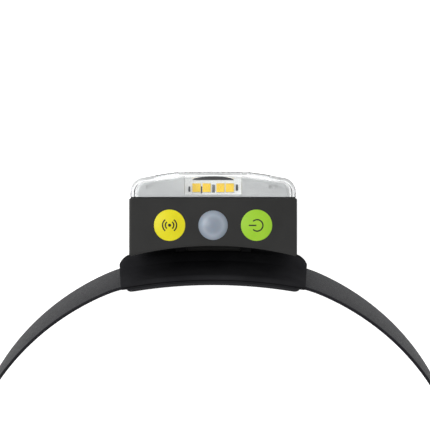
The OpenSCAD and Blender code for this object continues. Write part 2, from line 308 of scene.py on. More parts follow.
# A material with a Principled shader; fixed settings go straight on its sockets
def startMaterial(name, sockets):
    material = bpy.data.materials.new(name)
    material.use_nodes = True
    tree = material.node_tree
    tree.nodes.clear()
    shader = addNode(tree, "ShaderNodeBsdfPrincipled", sockets=sockets)
    output = addNode(tree, "ShaderNodeOutputMaterial", sockets={"Surface": shader.outputs[0]})
    place = addNode(tree, "ShaderNodeTexCoord").outputs["Object"]
    return material, tree, shader, place


# A colour that varies between two hex values as a factor goes from low to high
def blendColours(tree, factor, low, high, first=0.3, last=0.7):
    ramp = addNode(tree, "ShaderNodeValToRGB", sockets={"Fac": factor})
    ramp.color_ramp.elements[0].position, ramp.color_ramp.elements[1].position = first, last
    ramp.color_ramp.elements[0].color, ramp.color_ramp.elements[1].color = colour(low), colour(high)
    return ramp.outputs["Color"]


def mapRange(tree, value, low, high):
    return addNode(tree, "ShaderNodeMapRange", sockets={
        "Value": value, "From Min": 0.3, "From Max": 0.7, "To Min": low, "To Max": high}).outputs[0]


# A moulded or cast surface: slow drift in the colour and in the gloss, fine grain in the relief
def grainedMaterial(name, low, high, rough, grain, relief, sockets=None, driftSize=9):
    settings = {"IOR": 1.5}
    settings.update(sockets or {})
    material, tree, shader, place = startMaterial(name, settings)
    drift = addNode(tree, "ShaderNodeTexNoise", sockets={
        "Vector": place, "Scale": 1 / (driftSize * mm), "Detail": 3}).outputs["Fac"]
    fine = addNode(tree, "ShaderNodeTexNoise", sockets={
        "Vector": place, "Scale": 1 / (grain * mm), "Detail": 2}).outputs["Fac"]
    tree.links.new(blendColours(tree, drift, low, high), shader.inputs["Base Color"])
    tree.links.new(mapRange(tree, drift, *rough), shader.inputs["Roughness"])
    bump = addNode(tree, "ShaderNodeBump", sockets={
        "Height": fine, "Strength": 0.5, "Distance": relief * mm})
    tree.links.new(bump.outputs[0], shader.inputs["Normal"])
    return material


# Clear plastic that lets lamps through to what is behind it. The indices of refraction used are
# lower than the real plastics', so that the inside stays readable; cloud mixes in a diffuse haze.
def clearMaterial(name, hexValue, ior, roughness, cloud=0.0):
    material, tree, shader, place = startMaterial(name, {
        "IOR": ior, "Roughness": roughness, "Transmission Weight": 1.0,
        "Base Color": colour(hexValue)})
    ripple = addNode(tree, "ShaderNodeTexNoise", sockets={
        "Vector": place, "Scale": 1 / (14 * mm), "Detail": 1}).outputs["Fac"]
    bump = addNode(tree, "ShaderNodeBump", sockets={
        "Height": ripple, "Strength": 0.12, "Distance": 0.1 * mm})
    tree.links.new(bump.outputs[0], shader.inputs["Normal"])
    passing = addNode(tree, "ShaderNodeBsdfTransparent", sockets={"Color": colour("#f4f6f7")})
    isShadow = addNode(tree, "ShaderNodeLightPath").outputs["Is Shadow Ray"]
    haze = addNode(tree, "ShaderNodeBsdfDiffuse", sockets={"Color": colour("#cdced0")})
    cloudy = addNode(tree, "ShaderNodeMixShader", sockets={
        0: cloud, 1: shader.outputs[0], 2: haze.outputs[0]})
    mix = addNode(tree, "ShaderNodeMixShader", sockets={
        0: isShadow, 1: cloudy.outputs[0], 2: passing.outputs[0]})
    output = [n for n in tree.nodes if n.type == "OUTPUT_MATERIAL"][0]
    tree.links.new(mix.outputs[0], output.inputs["Surface"])
    return material


# ABS from a spark-eroded mould: a dull charcoal with a fine even sparkle
mouldedAbs = grainedMaterial("mouldedAbs", "#212120", "#292928", (0.5, 0.62), 0.45, 0.06,
                             {"Specular IOR Level": 0.4})
# Glass-filled nylon, flat black: it has no specular reflection at all, which keeps its face dark
# where it is seen at a low angle. Real nylon would shine a little there.
mouldedNylon = grainedMaterial("mouldedNylon", "#242426", "#2c2c2e", (0.52, 0.64), 0.5, 0.05,
                               {"Specular IOR Level": 0.0})
# Acetal from a polished mould: black with a clear gloss
polishedAcetal = grainedMaterial("polishedAcetal", "#141416", "#1c1c1f", (0.24, 0.34), 1.2, 0.02)
# Foamed rubber: very dark, dull, with open pores
foamedRubber = grainedMaterial("foamedRubber", "#17171a", "#222226", (0.8, 0.95), 0.7, 0.16)
# Nitrile rubber seals and flap: dull black
nitrileRubber = grainedMaterial("nitrileRubber", "#161617", "#1f1f20", (0.6, 0.75), 0.6, 0.03)
# Pigmented silicone keys: saturated, soft sheen
yellowSilicone = grainedMaterial("yellowSilicone", "#efe303", "#f9ee14", (0.38, 0.48), 0.5, 0.02,
                                 {"Subsurface Weight": 0.08, "Subsurface Scale": 0.001})
limeSilicone = grainedMaterial("limeSilicone", "#9fd626", "#addf33", (0.38, 0.48), 0.5, 0.02,
                               {"Subsurface Weight": 0.08, "Subsurface Scale": 0.001})
clearSilicone = grainedMaterial("translucentSilicone", "#b5b5b1", "#c6c6c2", (0.5, 0.6), 0.5, 0.02)
# Pad-printed ink: flat black
padPrint = grainedMaterial("padPrintInk", "#1d1c12", "#26241a", (0.5, 0.6), 0.3, 0.01)
# Pearl polycarbonate reflector: light grey with a soft shine and slow bands
pearlPolycarbonate = grainedMaterial("pearlPolycarbonate", "#dadada", "#efefee", (0.3, 0.42),
                                     2.2, 0.03, {"Metallic": 0.1}, 12)
# Vacuum-coated cups: bright metal
vacuumAluminium = grainedMaterial("vacuumAluminium", "#d9dadb", "#e6e7e8", (0.08, 0.14), 0.9, 0.01,
                                  {"Metallic": 1.0})
# White solder mask, with painted light: it glows to look bright with the lamp off, though real solder mask gives
# no light
whiteMaskPaintedGlow = grainedMaterial("whiteSolderMaskPaintedGlow", "#f3f3f1", "#fbfbf9", (0.3, 0.4), 0.4, 0.01, {
    "Emission Color": colour("#ffffff"), "Emission Strength": 0.35})
greenMask = grainedMaterial("greenSolderMask", "#1c5a34", "#257043", (0.25, 0.35), 0.4, 0.02)
# Cast phosphor: strong warm yellow, slightly grainy, with painted light: it glows for the same reason, though the
# LEDs are off
castPhosphorPaintedGlow = grainedMaterial("castPhosphorPaintedGlow", "#ffd200", "#ffdc20", (0.4, 0.5), 0.2, 0.02, {
    "Emission Color": colour("#ffcc00"), "Emission Strength": 0.5})
whiteLedBody = grainedMaterial("whiteLedBody", "#efeee8", "#fbfaf6", (0.35, 0.45), 0.3, 0.01)
blackEpoxy = grainedMaterial("blackEpoxy", "#0f1012", "#1a1b1e", (0.35, 0.5), 0.3, 0.02)
greyCeramic = grainedMaterial("greyCeramic", "#6d7074", "#8a8d92", (0.4, 0.5), 0.3, 0.02)
# Carbon-filled nylon washers: dull black
darkNylon = grainedMaterial("darkNylon", "#19191a", "#222223", (0.5, 0.6), 0.6, 0.02)
# Black-oxide steel for the hinge pin: nearly black with a dim metal shine
blackOxide = grainedMaterial("blackOxideSteel", "#2a2b2d", "#3a3b3e", (0.35, 0.5), 0.5, 0.02,
                             {"Metallic": 0.8})
# Zinc-plated steel: cool grey with a faint brushed variation
platedSteel = grainedMaterial("zincPlatedSteel", "#a7aaad", "#c3c6c9", (0.25, 0.4), 0.6, 0.02,
                              {"Metallic": 1.0})
stampedAluminium = grainedMaterial("stampedAluminium", "#b7babd", "#cbced1", (0.3, 0.42), 0.8, 0.02,
                                   {"Metallic": 1.0})
laminatedFoil = grainedMaterial("laminatedFoil", "#b4b7bb", "#cdd0d4", (0.25, 0.4), 2, 0.08,
                                {"Metallic": 0.9})
openFoam = grainedMaterial("openFoam", "#2a2a2d", "#3b3b40", (0.85, 0.95), 0.6, 0.2)
redSleeve = grainedMaterial("redWireSleeve", "#a3121c", "#bb1c27", (0.35, 0.45), 0.5, 0.02)
# Polycarbonate lens: clear, with a faint haze
clearPolycarbonate = clearMaterial("clearPolycarbonate", "#eff0f0", 1.3, 0.04, 0.07)
print("moulded materials made")


# Milky polyethylene dome: a darker bluish middle, a paler ring, and a foot darkened with painted shade
def makeDomeMaterial(centre, radius):
    material, tree, shader, place = startMaterial("milkyPolyethylene", {
        "IOR": 1.5, "Roughness": 0.3, "Subsurface Weight": 0.15, "Subsurface Scale": 0.001})
    offset = addNode(tree, "ShaderNodeVectorMath", {"operation": "DISTANCE"},
                     {0: place, 1: tuple(centre)}).outputs["Value"]
    share = addNode(tree, "ShaderNodeMath", {"operation": "DIVIDE"}, {0: offset, 1: radius}).outputs[0]
    ramp = addNode(tree, "ShaderNodeValToRGB", sockets={"Fac": share})
    # The last stop darkens the dome's foot: painted shade
    stops = [(0.0, "#8f99a7"), (0.42, "#98a2b0"), (0.6, "#a9b3c0"), (0.78, "#9aa5b3"),
             (1.0, "#7f8997")]
    ramp.color_ramp.elements[0].color = colour(stops[0][1])
    ramp.color_ramp.elements[1].color = colour(stops[-1][1])
    for position, hexValue in stops[1:-1]:
        ramp.color_ramp.elements.new(position).color = colour(hexValue)
    tree.links.new(ramp.outputs["Color"], shader.inputs["Base Color"])
    facets = addNode(tree, "ShaderNodeTexVoronoi", sockets={"Vector": place, "Scale": 1 / (1.1 * mm)})
    bump = addNode(tree, "ShaderNodeBump", sockets={
        "Height": facets.outputs["Distance"], "Strength": 0.2, "Distance": 0.05 * mm})
    tree.links.new(bump.outputs[0], shader.inputs["Normal"])
    return material


# Woven polyester webbing: ribs run along the strap and picks cross it. The real yarns are 0.3 mm
# and would not show, so both are drawn coarser.
def makeWebbingMaterial():
    weave = {"rib": 1.25, "pick": 1.0, "relief": 0.16}
    material, tree, shader, place = startMaterial("wovenPolyester", {
        "Sheen Weight": 0.06, "Sheen Roughness": 0.5, "Specular IOR Level": 0.15})
    strap = addNode(tree, "ShaderNodeUVMap", {"uv_map": "strapUV"}).outputs[0]
    split = addNode(tree, "ShaderNodeSeparateXYZ", sockets={0: strap})
    waves = []
    for axis, pitch in (("X", weave["pick"]), ("Y", weave["rib"])):
        turns = addNode(tree, "ShaderNodeMath", {"operation": "MULTIPLY"}, {
            0: split.outputs[axis], 1: 2 * math.pi / (pitch * mm)}).outputs[0]
        waves.append(addNode(tree, "ShaderNodeMath", {"operation": "SINE"}, {0: turns}).outputs[0])
    woven = addNode(tree, "ShaderNodeMath", {"operation": "MULTIPLY"}, {0: waves[0], 1: waves[1]})
    height = addNode(tree, "ShaderNodeMath", {"operation": "MULTIPLY_ADD"},
                     {0: woven.outputs[0], 1: 0.5, 2: 0.5}).outputs[0]
    fuzz = addNode(tree, "ShaderNodeTexNoise", sockets={
        "Vector": place, "Scale": 1 / (0.8 * mm), "Detail": 4}).outputs["Fac"]
    mixed = addNode(tree, "ShaderNodeMath", {"operation": "MULTIPLY_ADD"},
                    {0: fuzz, 1: 0.7, 2: height}).outputs[0]
    tree.links.new(blendColours(tree, mixed, "#101013", "#222226", 0.35, 1.25 / 1.3),
                   shader.inputs["Base Color"])
    tree.links.new(mapRange(tree, fuzz, 0.62, 0.8), shader.inputs["Roughness"])
    bump = addNode(tree, "ShaderNodeBump", sockets={
        "Height": mixed, "Strength": 0.6, "Distance": weave["relief"] * mm})
    tree.links.new(bump.outputs[0], shader.inputs["Normal"])
    return material


# Bonded thread: dark, slightly glossy, twisted
def makeThreadMaterial():
    material, tree, shader, place = startMaterial("bondedThread", {"Roughness": 0.5})
    twist = addNode(tree, "ShaderNodeTexWave", {"bands_direction": "DIAGONAL"}, {
        "Vector": place, "Scale": 1 / (1.6 * mm), "Distortion": 1.0})
    tree.links.new(blendColours(tree, twist.outputs["Fac"], "#26262a", "#3c3c42"),
                   shader.inputs["Base Color"])
    bump = addNode(tree, "ShaderNodeBump", sockets={
        "Height": twist.outputs["Fac"], "Strength": 0.5, "Distance": 0.05 * mm})
    tree.links.new(bump.outputs[0], shader.inputs["Normal"])
    return material


wovenPolyester = makeWebbingMaterial()
bondedThread = makeThreadMaterial()
print("webbing and thread materials made")


# Camera, light and floor

view = {"aside": -0.68, "along": -12.55, "height": 532.1, "lens": 117.4}
cameraData = bpy.data.cameras.new("camera")
cameraData.lens = view["lens"]
cameraData.clip_start = 0.01
camera = bpy.data.objects.new("camera", cameraData)
bpy.context.scene.collection.objects.link(camera)
turnedOver = lampFrame.to_3x3().normalized() @ Matrix.Rotation(math.pi, 3, "Z")
camera.matrix_world = turnedOver.to_4x4()
camera.location = lampFrame @ Vector((view["aside"], view["along"], view["height"]))
bpy.context.scene.camera = camera
bpy.context.scene.view_settings.view_transform = "Standard"

lamps = {  # place and aim in metres, size in metres, watts
    "keyLight": ((0.75, -0.55, 0.9), 0.8, 6.5),
    "fillLight": ((-0.9, -0.3, 0.8), 0.9, 1.2),
    "backLight": ((0.1, 1.0, 0.9), 1.0, 2),
}
for name, (place, size, power) in lamps.items():
    lampData = bpy.data.lights.new(name, "AREA")
    lampData.shape, lampData.size, lampData.energy = "DISK", size, power
    lampObject = bpy.data.objects.new(name, lampData)
    lampObject.location = place
    lampObject.rotation_euler = (Vector((0, -0.05, 0)) - Vector(place)).to_track_quat(
        "-Z", "Y").to_euler()
    bpy.context.scene.collection.objects.link(lampObject)

world = bpy.data.worlds.new("studio")
bpy.context.scene.world = world
world.use_nodes = True
worldShader = world.node_tree.nodes["Background"]
worldShader.inputs["Color"].default_value = colour("#f6f6f6")
worldShader.inputs["Strength"].default_value = 0.5


def makeFloor():
    half = 2.5
    low = cadBounds[0][2] - 0.2 * mm
    mesh = bpy.data.meshes.new("floor")
    mesh.from_pydata([(-half, -half, low), (half, -half, low), (half, half, low),
                      (-half, half, low)], [], [(0, 1, 2, 3)])
    material, tree, shader, place = startMaterial("paperSweep", {
        "Roughness": 0.9, "Emission Strength": 0.75, "Emission Color": colour("#ffffff")})
    drift = addNode(tree, "ShaderNodeTexNoise", sockets={"Vector": place, "Scale": 6.0})
    tree.links.new(blendColours(tree, drift.outputs["Fac"], "#f3f3f3", "#f8f8f8"),
                   shader.inputs["Base Color"])
    mesh.materials.append(material)
    linkMesh("floor", mesh)


makeFloor()
print("camera, light and floor made")


# Lamp housing

housingLow, housingHigh = nodeBox("housing", lampFrame)
housingShape = {
    "halfWidth": housingHigh.x, "front": housingLow.y, "corner": housingHigh.y,
    "low": nodeBox("lens_cover", lampFrame)[0].z - 0.4, "high": housingHigh.z,
    "hollowRadius": 120.0,    # curve of the back
    "frontCorner": 0.7, "backCorner": 0.7,
    "rim": 0.8, "wall": 1.8,
}


# Points on the housing's outline, moved in by an inset; less at the seam, where the lens joins
def housingOutline(inset):
    h = housingShape
    half, front = h["halfWidth"] - inset, h["front"] + inset * 0.35
    radius = h["hollowRadius"] + inset
    middle = h["corner"] - (h["hollowRadius"] - math.sqrt(h["hollowRadius"] ** 2
                                                          - h["halfWidth"] ** 2))
    centre = middle + h["hollowRadius"]
    arc = []
    for k in range(1, 32):
        x = half - 2 * half * k / 32
        arc.append((x, centre - math.sqrt(radius ** 2 - x * x), 0))
    end = centre - math.sqrt(radius ** 2 - half ** 2)
    corners = [(-half, front, h["frontCorner"]), (half, front, h["frontCorner"]),
               (half, end, h["backCorner"])] + arc + [(-half, end, h["backCorner"])]
    return roundCorners(corners)


buttonPlaces = {name: (nodeBox(name, lampFrame)[0] + nodeBox(name, lampFrame)[1]) / 2
                for name in ("power_button", "sensor_button", "sensor_dome")}


# A cutter for a round well from the cavity up through the top wall, with an eased lip
def wellCutter(name, centre, radius, flange, flangeTop):
    top = housingShape["high"]
    floor = flangeTop - 3.0
    profile = [(flange, floor), (flange, flangeTop), (radius, flangeTop), (radius, top - 0.3),
               (radius + 0.06, top - 0.16), (radius + 0.22, top - 0.03), (radius + 0.4, top + 0.02),
               (radius + 0.4, top + 1)]
    return turned(name, profile, (centre.x, centre.y, 0), lampFrame, 96)


def makeHousing():
    h = housingShape
    body = stackedBody("housingShell", housingOutline,
                       rimLevels(h["low"], h["high"], 1.2, h["rim"]), lampFrame)
    knuckle = turned("knuckle", [(1.6, -10), (1.95, -9.65), (1.95, 9.65), (1.6, 10)], (0, 0, 0),
                     lampFrame, 48, "X")
    web = block("web", (-9.9, 9.9), (-3, 0), (-1.9, 1.9), lampFrame)
    combine(body, web, "UNION")
    combine(body, knuckle, "UNION")
    low, high = h["low"] + h["wall"], h["high"] - h["wall"]
    wide = h["halfWidth"] - h["wall"]
    cover, port = nodeBox("rear_cover", lampFrame), nodeBox("usb_flap", lampFrame)
    cuts = [block("c", (-wide, wide), (h["front"] - 2, -4.9), (low, high), lampFrame)]
    for side in (-1, 1):
        cuts.append(block("c", sorted((side * 10, side * 60)), (-1.5, 9), (h["low"] - 1, 5), lampFrame))
        cuts.append(turned("c", [(2.5, side * 10), (2.5, side * 14.8)], (0, 0, 0), lampFrame, 48, "X"))
    coverCut = block("c", (cover[0].x - 0.15, cover[1].x + 0.15), (-3.1, 9),
                     (cover[0].z - 0.15, cover[1].z + 0.15), lampFrame)
    window = block("c", (-22, 22), (-6, 0), (7.5, 25.5), lampFrame)
    flapCut = block("c", (port[1].x - 1.15, 60), (port[0].y - 0.15, port[1].y + 0.15),
                    (port[0].z - 0.15, port[1].z + 0.15), lampFrame)
    plugCut = block("c", (wide - 1, 60), (-15.6, -6.4), (21.6, 25), lampFrame)
    for piece in cuts + [coverCut, window, flapCut, plugCut]:
        combine(body, piece, "DIFFERENCE")
    # These three cuts have no effect: the body isn't closed here, and this solver needs it closed.
    # The top stays whole under the keys and the dome, and a pressed key sinks out of sight.
    for name, centre in buttonPlaces.items():
        radius = 5.7 + (0.1 if name == "sensor_dome" else 0.25)
        combine(body, wellCutter("c", centre, radius, 6.35, high - 0.04), "DIFFERENCE", "MANIFOLD")
    combine(body, turned("c", [(1.05, -20), (1.05, 20)], (0, 0, 0), lampFrame, 32, "X"), "DIFFERENCE")
    return finishPiece(body, "lamp", [mouldedAbs], ["housing"])


makeHousing()
print("housing made")


# Clear lens

lensLow, lensHigh = nodeBox("lens_cover", lampFrame)
lensShape = {"half": lensHigh.x, "front": lensLow.y, "back": lensHigh.y, "corner": 5.2,
             "flat": 11.1, "bow": 118.0, "low": lensLow.z, "high": lensHigh.z, "wall": 1.8}


# The lens's outline: flat window, bowed face on either side, round corners, open towards the seam
def lensOutline(inset, back=None, frontInset=None):
    s = lensShape
    depth = inset if frontInset is None else frontInset
    half, radius = s["half"] - inset, s["bow"] - depth
    corner = s["corner"] - inset * 0.6
    sink = s["bow"] - math.sqrt(s["bow"] ** 2 - s["flat"] ** 2)
    face = []
    cornerX = half - corner
    for k in range(25):
        x = cornerX * (1 - k / 12)
        curved = s["front"] - sink + s["bow"] - math.sqrt(radius ** 2 - x * x)
        face.append((x, max(s["front"] + depth, curved)))
    edgeY = face[0][1]
    outline = [Vector((half, s["back"] if back is None else back))]
    for k in range(11):
        a = math.radians(90 * k / 11)
        outline.append(Vector((cornerX + corner * math.cos(a), edgeY + corner - corner * math.sin(a))))
    outline += [Vector(p) for p in face]
    outline += [Vector((-p.x, p.y)) for p in reversed(outline[:12])]
    return outline[::-1]


def makeLens():
    s = lensShape
    outer = stackedBody("lensCover", lensOutline, rimLevels(s["low"], s["high"], 1.3, 1.3, 6), lampFrame)
    wall = s["wall"]
    inner = stackedBody("hollow", lambda inset: lensOutline(wall + inset, s["back"] + 3),
                        rimLevels(s["low"] + wall, s["high"] - wall, 0.8, 0.8, 4), lampFrame)
    combine(outer, inner, "DIFFERENCE")
    return finishPiece(outer, "lamp", [clearPolycarbonate], ["lens_cover"])


makeLens()
print("lens made")


# Reflector bezel with its window and cups

bezelLow, bezelHigh = nodeBox("reflector_bezel", lampFrame)
spotCentres = [Vector((side * 18, 0, 14.5)) for side in (-1, 1)]
bezelShape = {"front": bezelLow.y, "back": bezelHigh.y, "low": bezelLow.z, "high": bezelHigh.z,
              "half": bezelHigh.x, "window": 10.3, "shoulder": (10.6, 15.2), "forward": 1.0,
              "reach": 0.9}


# The bezel's outline; beside the window its front sweeps forward to meet the lens
def bezelOutline(inset):
    b = bezelShape
    half, corner = b["half"] - inset, 3.4
    outline = [Vector((half, b["back"]))]
    for k in range(8):
        a = math.radians(90 * k / 8)
        outline.append(Vector((half - corner + corner * math.cos(a),
                               b["front"] + 1.1 - b["reach"] + inset + corner - corner * math.sin(a))))
    first = half - corner
    for k in range(25):
        x = first * (1 - k / 24)
        bowed = 1.1 * (x / first) ** 2
        near, far = b["shoulder"]
        t = min(1, max(0, (far - x) / (far - near)))
        rise = b["forward"] * t * t * (3 - 2 * t)
        outline.append(Vector((x, b["front"] - b["reach"] + bowed + inset - rise)))
    outline += [Vector((-p.x, p.y)) for p in reversed(outline[:-1])]
    return outline[::-1]


def makeBezel():
    b = bezelShape
    body = stackedBody("reflectorBezel", bezelOutline, rimLevels(b["low"], b["high"], 0.8, 0.9),
                       lampFrame)
    body.data.materials.append(pearlPolycarbonate)
    for centre in spotCentres:
        cup = turned("cup", [(2.3, b["back"] + 1), (2.3, b["back"] - 0.9), (3.3, b["back"] - 1.6),
                             (4.5, b["back"] - 2.9), (5.5, b["back"] - 4.3), (6.1, b["front"] - 0.1),
                             (6.3, b["front"] - 1.6)],
                     (centre.x, 0, centre.z), lampFrame, 72, "Y")
        cup.data.materials.append(vacuumAluminium)
        combine(body, cup, "DIFFERENCE")
    for x in (-21.5, 22.5):
        pocket = block("pocket", (x - 1.5, x + 1.5), (-23.2, -21.9), (b["high"] - 0.9, b["high"] + 1),
                       lampFrame)
        pocket.data.materials.append(pearlPolycarbonate)
        combine(body, pocket, "DIFFERENCE")
    window = block("window", (-b["window"], b["window"]), (-30, -19.9), (14, 40), lampFrame)
    # The window's cut faces take the white solder mask, which glows with painted light
    window.data.materials.append(whiteMaskPaintedGlow)
    combine(body, window, "DIFFERENCE")
    made = finishPiece(body, "lamp", None, ["reflector_bezel"])
    return made


makeBezel()
print("bezel made")


# Geometry Nodes trees

# Starts a tree with named inputs and gives back its group input and output nodes
def startTree(name, inputs):
    tree = bpy.data.node_groups.new(name, "GeometryNodeTree")
    tree.interface.new_socket("Geometry", in_out="INPUT", socket_type="NodeSocketGeometry")
    for label, kind in inputs:
        tree.interface.new_socket(label, in_out="INPUT", socket_type="NodeSocket" + kind)
    tree.interface.new_socket("Geometry", in_out="OUTPUT", socket_type="NodeSocketGeometry")
    return tree, addNode(tree, "NodeGroupInput"), addNode(tree, "NodeGroupOutput")


# Runs a tree on an object with its inputs set by identifier, and leaves a plain mesh
def runTree(made, tree, values):
    modifier = made.modifiers.new(tree.name, "NODES")
    modifier.node_group = tree
    for item in tree.interface.items_tree:
        if item.item_type == "SOCKET" and item.in_out == "INPUT" and item.name in values:
            modifier[item.identifier] = values[item.name]
    return settle(made)


# A strap: a path turned into a curve and swept with a rounded band profile, with UVs in metres
def makeStrapTree():
    tree, given, output = startTree("strapSweep", [
        ("Width", "Float"), ("Thickness", "Float"), ("Edge Radius", "Float"), ("Step", "Float"),
        ("Material", "Material")])
    curve = addNode(tree, "GeometryNodeMeshToCurve", sockets={"Mesh": given.outputs["Geometry"]})
    even = addNode(tree, "GeometryNodeResampleCurve", {"mode": "LENGTH"}, {
        "Curve": curve.outputs[0], "Length": given.outputs["Step"]})
    upright = addNode(tree, "GeometryNodeSetCurveNormal", {"mode": "Z_UP"}, {
        "Curve": even.outputs[0]})
    along = addNode(tree, "GeometryNodeSplineParameter").outputs["Length"]
    marked = addNode(tree, "GeometryNodeCaptureAttribute", {"domain": "POINT"})
    marked.capture_items.new("FLOAT", "Along")
    tree.links.new(upright.outputs[0], marked.inputs[0])
    tree.links.new(along, marked.inputs[1])
    band = addNode(tree, "GeometryNodeCurvePrimitiveQuadrilateral", sockets={
        "Width": given.outputs["Thickness"], "Height": given.outputs["Width"]})
    soft = addNode(tree, "GeometryNodeFilletCurve", {"mode": "POLY"}, {
        "Curve": band.outputs[0], "Radius": given.outputs["Edge Radius"], "Count": 4})
    finer = addNode(tree, "GeometryNodeSubdivideCurve", sockets={"Curve": soft.outputs[0], "Cuts": 1})
    spot = addNode(tree, "GeometryNodeInputPosition").outputs[0]
    across = addNode(tree, "ShaderNodeSeparateXYZ", sockets={0: spot}).outputs["Y"]
    markedBand = addNode(tree, "GeometryNodeCaptureAttribute", {"domain": "POINT"})
    markedBand.capture_items.new("FLOAT", "Across")
    tree.links.new(finer.outputs[0], markedBand.inputs[0])
    tree.links.new(across, markedBand.inputs[1])
    swept = addNode(tree, "GeometryNodeCurveToMesh", sockets={
        "Curve": marked.outputs[0], "Profile Curve": markedBand.outputs[0], "Fill Caps": True})
    uv = addNode(tree, "ShaderNodeCombineXYZ", sockets={
        "X": marked.outputs[1], "Y": markedBand.outputs[1]})
    stored = addNode(tree, "GeometryNodeStoreNamedAttribute", {
        "data_type": "FLOAT2", "domain": "CORNER"}, {
        "Geometry": swept.outputs[0], "Name": "strapUV", "Value": uv.outputs[0]})
    painted = addNode(tree, "GeometryNodeSetMaterial", sockets={
        "Geometry": stored.outputs[0], "Material": given.outputs["Material"]})
    tree.links.new(painted.outputs[0], output.inputs[0])
    return tree


# Stitches: short rounded threads laid end to end along a path
def makeStitchTree():
    tree, given, output = startTree("stitches", [
        ("Pitch", "Float"), ("Stitch Length", "Float"), ("Thread", "Float"),
        ("Material", "Material")])
    curve = addNode(tree, "GeometryNodeMeshToCurve", sockets={"Mesh": given.outputs["Geometry"]})
    places = addNode(tree, "GeometryNodeResampleCurve", {"mode": "LENGTH"}, {
        "Curve": curve.outputs[0], "Length": given.outputs["Pitch"]})
    tangent = addNode(tree, "GeometryNodeInputTangent").outputs[0]
    aimed = addNode(tree, "FunctionNodeAlignRotationToVector", {"axis": "Z"}, {"Vector": tangent})
    bead = addNode(tree, "GeometryNodeMeshUVSphere", sockets={
        "Segments": 8, "Rings": 6, "Radius": 0.5})
    size = addNode(tree, "ShaderNodeCombineXYZ", sockets={
        "X": given.outputs["Thread"], "Y": given.outputs["Thread"],
        "Z": given.outputs["Stitch Length"]})
    placed = addNode(tree, "GeometryNodeInstanceOnPoints", sockets={
        "Points": places.outputs[0], "Instance": bead.outputs["Mesh"],
        "Rotation": aimed.outputs[0], "Scale": size.outputs[0]})
    real = addNode(tree, "GeometryNodeRealizeInstances", sockets={"Geometry": placed.outputs[0]})
    painted = addNode(tree, "GeometryNodeSetMaterial", sockets={
        "Geometry": real.outputs[0], "Material": given.outputs["Material"]})
    tree.links.new(painted.outputs[0], output.inputs[0])
    return tree


# One shape repeated at every point of a mesh
def makeRepeatTree():
    tree, given, output = startTree("repeated", [("Shape", "Object"), ("Size", "Float")])
    info = addNode(tree, "GeometryNodeObjectInfo", sockets={"Object": given.outputs["Shape"]})
    placed = addNode(tree, "GeometryNodeInstanceOnPoints", sockets={
        "Points": given.outputs["Geometry"], "Instance": info.outputs["Geometry"],
        "Scale": given.outputs["Size"]})
    real = addNode(tree, "GeometryNodeRealizeInstances", sockets={"Geometry": placed.outputs[0]})
    tree.links.new(real.outputs[0], output.inputs[0])
    return tree


strapTree, stitchTree, repeatTree = makeStrapTree(), makeStitchTree(), makeRepeatTree()
print("geometry node trees made")


# A chain of points in a working frame, as the mesh that a tree starts from
def makeChains(name, chains, closed=False):
    points, edges = [], []
    for chain in chains:
        first = len(points)
        points += [Vector(p) * mm for p in chain]
        edges += [(first + i, first + i + 1) for i in range(len(chain) - 1)]
        if closed:
            edges.append((len(points) - 1, first))
    mesh = bpy.data.meshes.new(name)
    mesh.from_pydata([tuple(p) for p in points], edges, [])
    return linkMesh(name, mesh)


# Moves a mesh made in metres about a working frame's origin to its place
def toPlace(made, working):
    made.data.transform(working @ Matrix.Scale(1 / mm, 4))
    shape = bmesh.new()
    shape.from_mesh(made.data)
    bmesh.ops.recalc_face_normals(shape, faces=shape.faces)
    shape.to_mesh(made.data)
    shape.free()
    return made


# LEDs, board and clear optic

flood = {"y": -22.9, "z": 21.6, "tilt": 40.0, "package": 3.15, "phosphor": 2.85, "long": 3.9}
floodFrame = lampFrame @ Matrix.Translation((0, flood["y"], flood["z"])) @ Matrix.Rotation(
    math.radians(flood["tilt"]), 4, "X")


def makeLeds():
    half, glow = flood["package"] / 2, flood["phosphor"] / 2
    low = -0.9
    unit = Matrix.Scale(mm, 4)
    base = bevel(block("base", (-half, half), (-2.1, 2.1), (low, low + 0.62), unit), 0.1)
    base.data.materials.append(whiteLedBody)
    dice = bevel(block("dice", (-glow, glow), (-flood["long"] / 2, flood["long"] / 2),
                       (low + 0.4, low + 0.72), unit), 0.08)
    # The phosphor dice glow with painted light
    dice.data.materials.append(castPhosphorPaintedGlow)
    package = join("ledPackage", [base, dice])
    centres = [-5.9, -2.6, 2.3, 5.9]
    row = makeChains("floodLeds", [[(x, 0, 0)] for x in centres])
    runTree(row, repeatTree, {"Shape": package, "Size": 1.0})
    bpy.data.objects.remove(package)
    toPlace(row, floodFrame)
    finishPiece(row, "lamp", None, ["flood_leds"])

    parts = []
    for x, y, wide, deep, tall, material in ((4.15, 0.6, 0.55, 1.5, 0.5, blackEpoxy),
                                             (-0.15, 0, 1.0, 1.7, 0.45, greyCeramic),
                                             (8.4, 0.2, 0.7, 1.0, 0.5, blackEpoxy),
                                             (-8.4, -0.5, 0.8, 1.2, 0.5, blackEpoxy)):
        part = bevel(block("part", (x - wide / 2, x + wide / 2), (y - deep, y + deep),
                           (low - 0.02, low + tall), floodFrame), 0.08)
        part.data.materials.append(material)
        parts.append(part)
    finishPiece(join("floodBoardParts", parts), "lamp", None)
